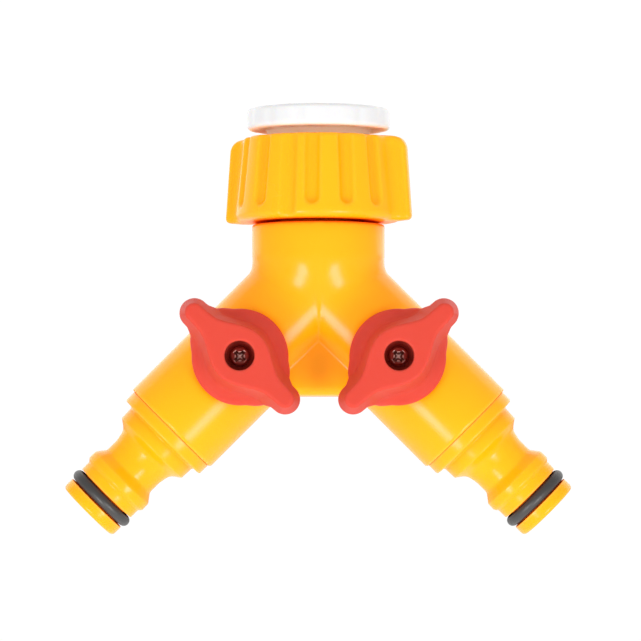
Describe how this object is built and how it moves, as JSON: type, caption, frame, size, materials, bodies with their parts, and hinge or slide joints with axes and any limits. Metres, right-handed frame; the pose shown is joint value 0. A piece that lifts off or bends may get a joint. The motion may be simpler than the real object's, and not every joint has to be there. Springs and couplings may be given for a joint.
{
  "type": "hose splitter",
  "caption": "Y-shaped garden hose splitter: a winged swivel nut joins a tap, and each arm has a quarter-turn ball valve with a lobed knob and a quick-connect nozzle with a sealing ring.",
  "frame": {"origin": "centre of the tap adaptor's mouth, on the inlet axis", "axes": "+Z out of the mouth along the inlet axis, +X to the right arm as seen from the knob side, -Y towards the knobs"},
  "size_m": [0.1178, 0.0455, 0.0992],
  "materials": {
    "yellow_plastic": "smooth injection-moulded, glossy",
    "yellow_nut_plastic": "smooth injection-moulded, glossy",
    "red_plastic": "fine satin mould texture",
    "white_plastic": "smooth injection-moulded",
    "ivory_plastic": "smooth acetal",
    "black_rubber": "satin moulded rubber",
    "screw_steel": "plated screw steel"
  },
  "bodies": {
    "splitter_body": {"y_body": "yellow_plastic", "inlet_spigot": "yellow_plastic", "spigot_oring": "black_rubber", "inlet_washer": "black_rubber", "left_outlet_nozzle": "yellow_plastic", "left_nozzle_oring": "black_rubber", "left_tail_oring": "black_rubber", "left_inner_ball_seat": "ivory_plastic", "left_outer_ball_seat": "ivory_plastic", "right_outlet_nozzle": "yellow_plastic", "right_nozzle_oring": "black_rubber", "right_tail_oring": "black_rubber", "right_inner_ball_seat": "ivory_plastic", "right_outer_ball_seat": "ivory_plastic"},
    "swivel_nut_body": {"swivel_nut": "yellow_nut_plastic"},
    "adaptor_washer_body": {"adaptor_washer": "black_rubber"},
    "adaptor_body": {"thread_adaptor": "white_plastic"},
    "left_valve": {"left_knob": "red_plastic", "left_knob_screw": "screw_steel", "left_spindle": "ivory_plastic", "left_spindle_oring": "black_rubber", "left_valve_ball": "ivory_plastic"},
    "right_valve": {"right_knob": "red_plastic", "right_knob_screw": "screw_steel", "right_spindle": "ivory_plastic", "right_spindle_oring": "black_rubber", "right_valve_ball": "ivory_plastic"}
  },
  "joints": [
    {"name": "nut_spin", "type": "hinge", "parent": "splitter_body", "child": "swivel_nut_body", "pos_m": [0, 0, -0.0168], "axis": [0, 0, 1], "continuous": true},
    {"name": "adaptor_lift", "type": "slide", "parent": "swivel_nut_body", "child": "adaptor_washer_body", "axis": [0, 0, 1], "range_m": [0, 0.0109]},
    {"name": "adaptor_turn", "type": "hinge", "parent": "adaptor_washer_body", "child": "adaptor_body", "pos_m": [0, 0, -0.009], "axis": [0, 0, 1], "range_deg": [0, 2160]},
    {"name": "left_valve_turn", "type": "hinge", "parent": "splitter_body", "child": "left_valve", "pos_m": [-0.0181, 0, -0.0584], "axis": [0, -1, 0], "range_deg": [0, 90]},
    {"name": "right_valve_turn", "type": "hinge", "parent": "splitter_body", "child": "right_valve", "pos_m": [0.0181, 0, -0.0584], "axis": [0, -1, 0], "range_deg": [0, 90]}
  ],
  "couplings": [
    {"joint": "adaptor_lift", "follows": "adaptor_turn", "m_per_rad": 0.00028871}
  ]
}
